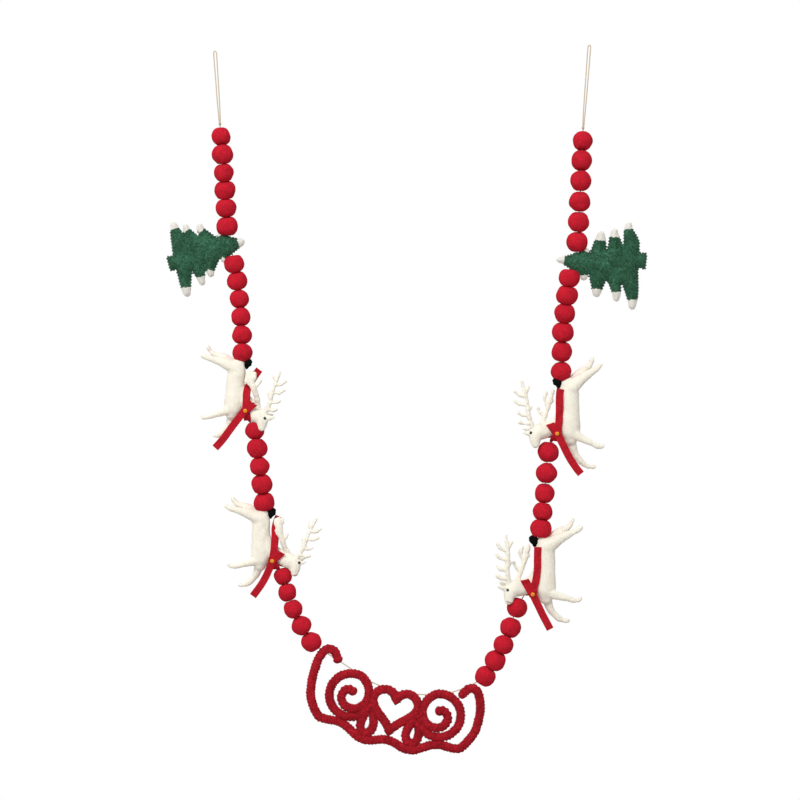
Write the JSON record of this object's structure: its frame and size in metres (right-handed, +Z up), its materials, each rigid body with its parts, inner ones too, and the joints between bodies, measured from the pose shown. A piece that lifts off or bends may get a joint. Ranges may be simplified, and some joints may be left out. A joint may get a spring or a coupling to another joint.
{
  "type": "felt ball garland",
  "caption": "Hanging swag of wool-felt balls on twine, with stuffed felt fir trees, leaping reindeer in scarves and a scroll of felt cord at its foot.",
  "frame": {"origin": "inside top of the left hanging loop, where it lies over its hook", "axes": "+Z up, +X to the right along the wall as seen from the room, -Y towards the room"},
  "size_m": [0.6093, 0.0292, 0.9],
  "materials": {
    "red_felt": "needle-felted wool, matt and finely fuzzy",
    "scarf_felt": "thin pressed wool felt, matt",
    "cream_felt": "needle-felted natural wool, matt and slightly lumpy",
    "black_felt": "needle-felted wool, matt",
    "green_felt": "pressed wool felt, matt, with a fine heathered nap",
    "dark_red_felt": "rolled wool-felt cord, matt and fuzzy",
    "twine": "natural two-ply cotton twine"
  },
  "bodies": {
    "root": {"twine": "twine", "ball_left_lower_1": "red_felt", "ball_left_lower_2": "red_felt", "ball_left_lower_3": "red_felt", "ball_left_lower_4": "red_felt", "ball_left_lower_5": "red_felt", "ball_left_middle_1": "red_felt", "ball_left_middle_2": "red_felt", "ball_left_middle_3": "red_felt", "ball_left_middle_4": "red_felt", "ball_left_middle_5": "red_felt", "ball_left_top_1": "red_felt", "ball_left_top_2": "red_felt", "ball_left_top_3": "red_felt", "ball_left_top_4": "red_felt", "ball_left_top_5": "red_felt", "ball_left_top_6": "red_felt", "ball_left_upper_1": "red_felt", "ball_left_upper_2": "red_felt", "ball_left_upper_3": "red_felt", "ball_left_upper_4": "red_felt", "ball_left_upper_5": "red_felt", "ball_left_upper_6": "red_felt", "ball_right_lower_1": "red_felt", "ball_right_lower_2": "red_felt", "ball_right_lower_3": "red_felt", "ball_right_lower_4": "red_felt", "ball_right_lower_5": "red_felt", "ball_right_middle_1": "red_felt", "ball_right_middle_2": "red_felt", "ball_right_middle_3": "red_felt", "ball_right_middle_4": "red_felt", "ball_right_middle_5": "red_felt", "ball_right_top_1": "red_felt", "ball_right_top_2": "red_felt", "ball_right_top_3": "red_felt", "ball_right_top_4": "red_felt", "ball_right_top_5": "red_felt", "ball_right_top_6": "red_felt", "ball_right_upper_1": "red_felt", "ball_right_upper_2": "red_felt", "ball_right_upper_3": "red_felt", "ball_right_upper_4": "red_felt", "ball_right_upper_5": "red_felt", "ball_right_upper_6": "red_felt", "felt_scroll": "dark_red_felt", "fir_tree_left": "green_felt", "fir_tree_right": "green_felt", "reindeer_left_lower": "cream_felt", "reindeer_left_upper": "cream_felt", "reindeer_right_lower": "cream_felt", "reindeer_right_upper": "cream_felt", "scarf_left_lower": "scarf_felt", "scarf_left_upper": "scarf_felt", "scarf_right_lower": "scarf_felt", "scarf_right_upper": "scarf_felt", "tail_left_lower": "black_felt", "tail_left_upper": "black_felt", "tail_right_lower": "black_felt", "tail_right_upper": "black_felt"}
  },
  "joints": []
}
